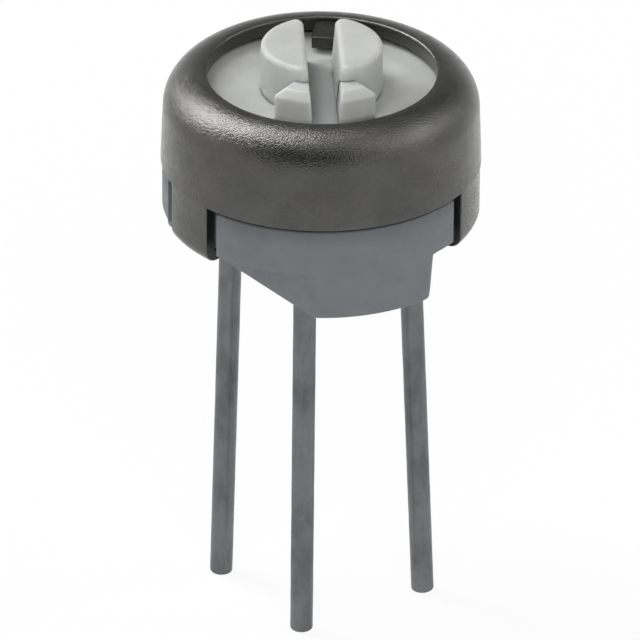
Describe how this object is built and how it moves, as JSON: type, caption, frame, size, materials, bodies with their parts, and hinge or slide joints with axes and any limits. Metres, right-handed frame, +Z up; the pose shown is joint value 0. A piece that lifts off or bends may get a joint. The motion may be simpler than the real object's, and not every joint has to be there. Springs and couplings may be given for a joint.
{
  "type": "trimmer potentiometer",
  "caption": "Round single-turn cermet trimmer potentiometer: crimped metal cap over a white base, slotted rotor with a pointer lug, and long round pins for a circuit board.",
  "frame": {"origin": "on the rotor's axis, on the plane where the base stands on the circuit board", "axes": "+Z up out of the screwdriver slot; -Y towards the wiper's pin, pin_2; +X towards pin_3"},
  "size_m": [0.0064, 0.0064, 0.0122],
  "materials": {
    "cap_metal": "satin nickel, finely blasted",
    "base_plastic": "moulded, satin",
    "rotor_plastic": "moulded, satin",
    "seal_rubber": "smooth silicone",
    "contact_metal": "rolled precious metal alloy",
    "alumina": "fired, matte",
    "cermet_film": "printed and fired",
    "conductor_film": "printed and fired silver alloy",
    "pin_metal": "dull tin plating",
    "solder": "satin",
    "sealing_epoxy": "cast"
  },
  "bodies": {
    "housing": {"cap": "cap_metal", "base": "base_plastic", "seal_ring": "seal_rubber", "substrate": "alumina", "resistor_track": "cermet_film", "collector_ring": "conductor_film", "end_pad_1": "conductor_film", "end_pad_3": "conductor_film", "pin_1": "pin_metal", "pin_2": "pin_metal", "pin_3": "pin_metal", "joint_1": "solder", "joint_2": "solder", "joint_3": "solder", "bead_1": "sealing_epoxy", "bead_2": "sealing_epoxy", "bead_3": "sealing_epoxy"},
    "turner": {"rotor": "rotor_plastic", "wiper": "contact_metal"}
  },
  "joints": [
    {"name": "rotor_turn", "type": "hinge", "parent": "housing", "child": "turner", "pos_m": [0, 0, 0.003], "axis": [0, 0, 1], "range_deg": [-138, 121]}
  ]
}
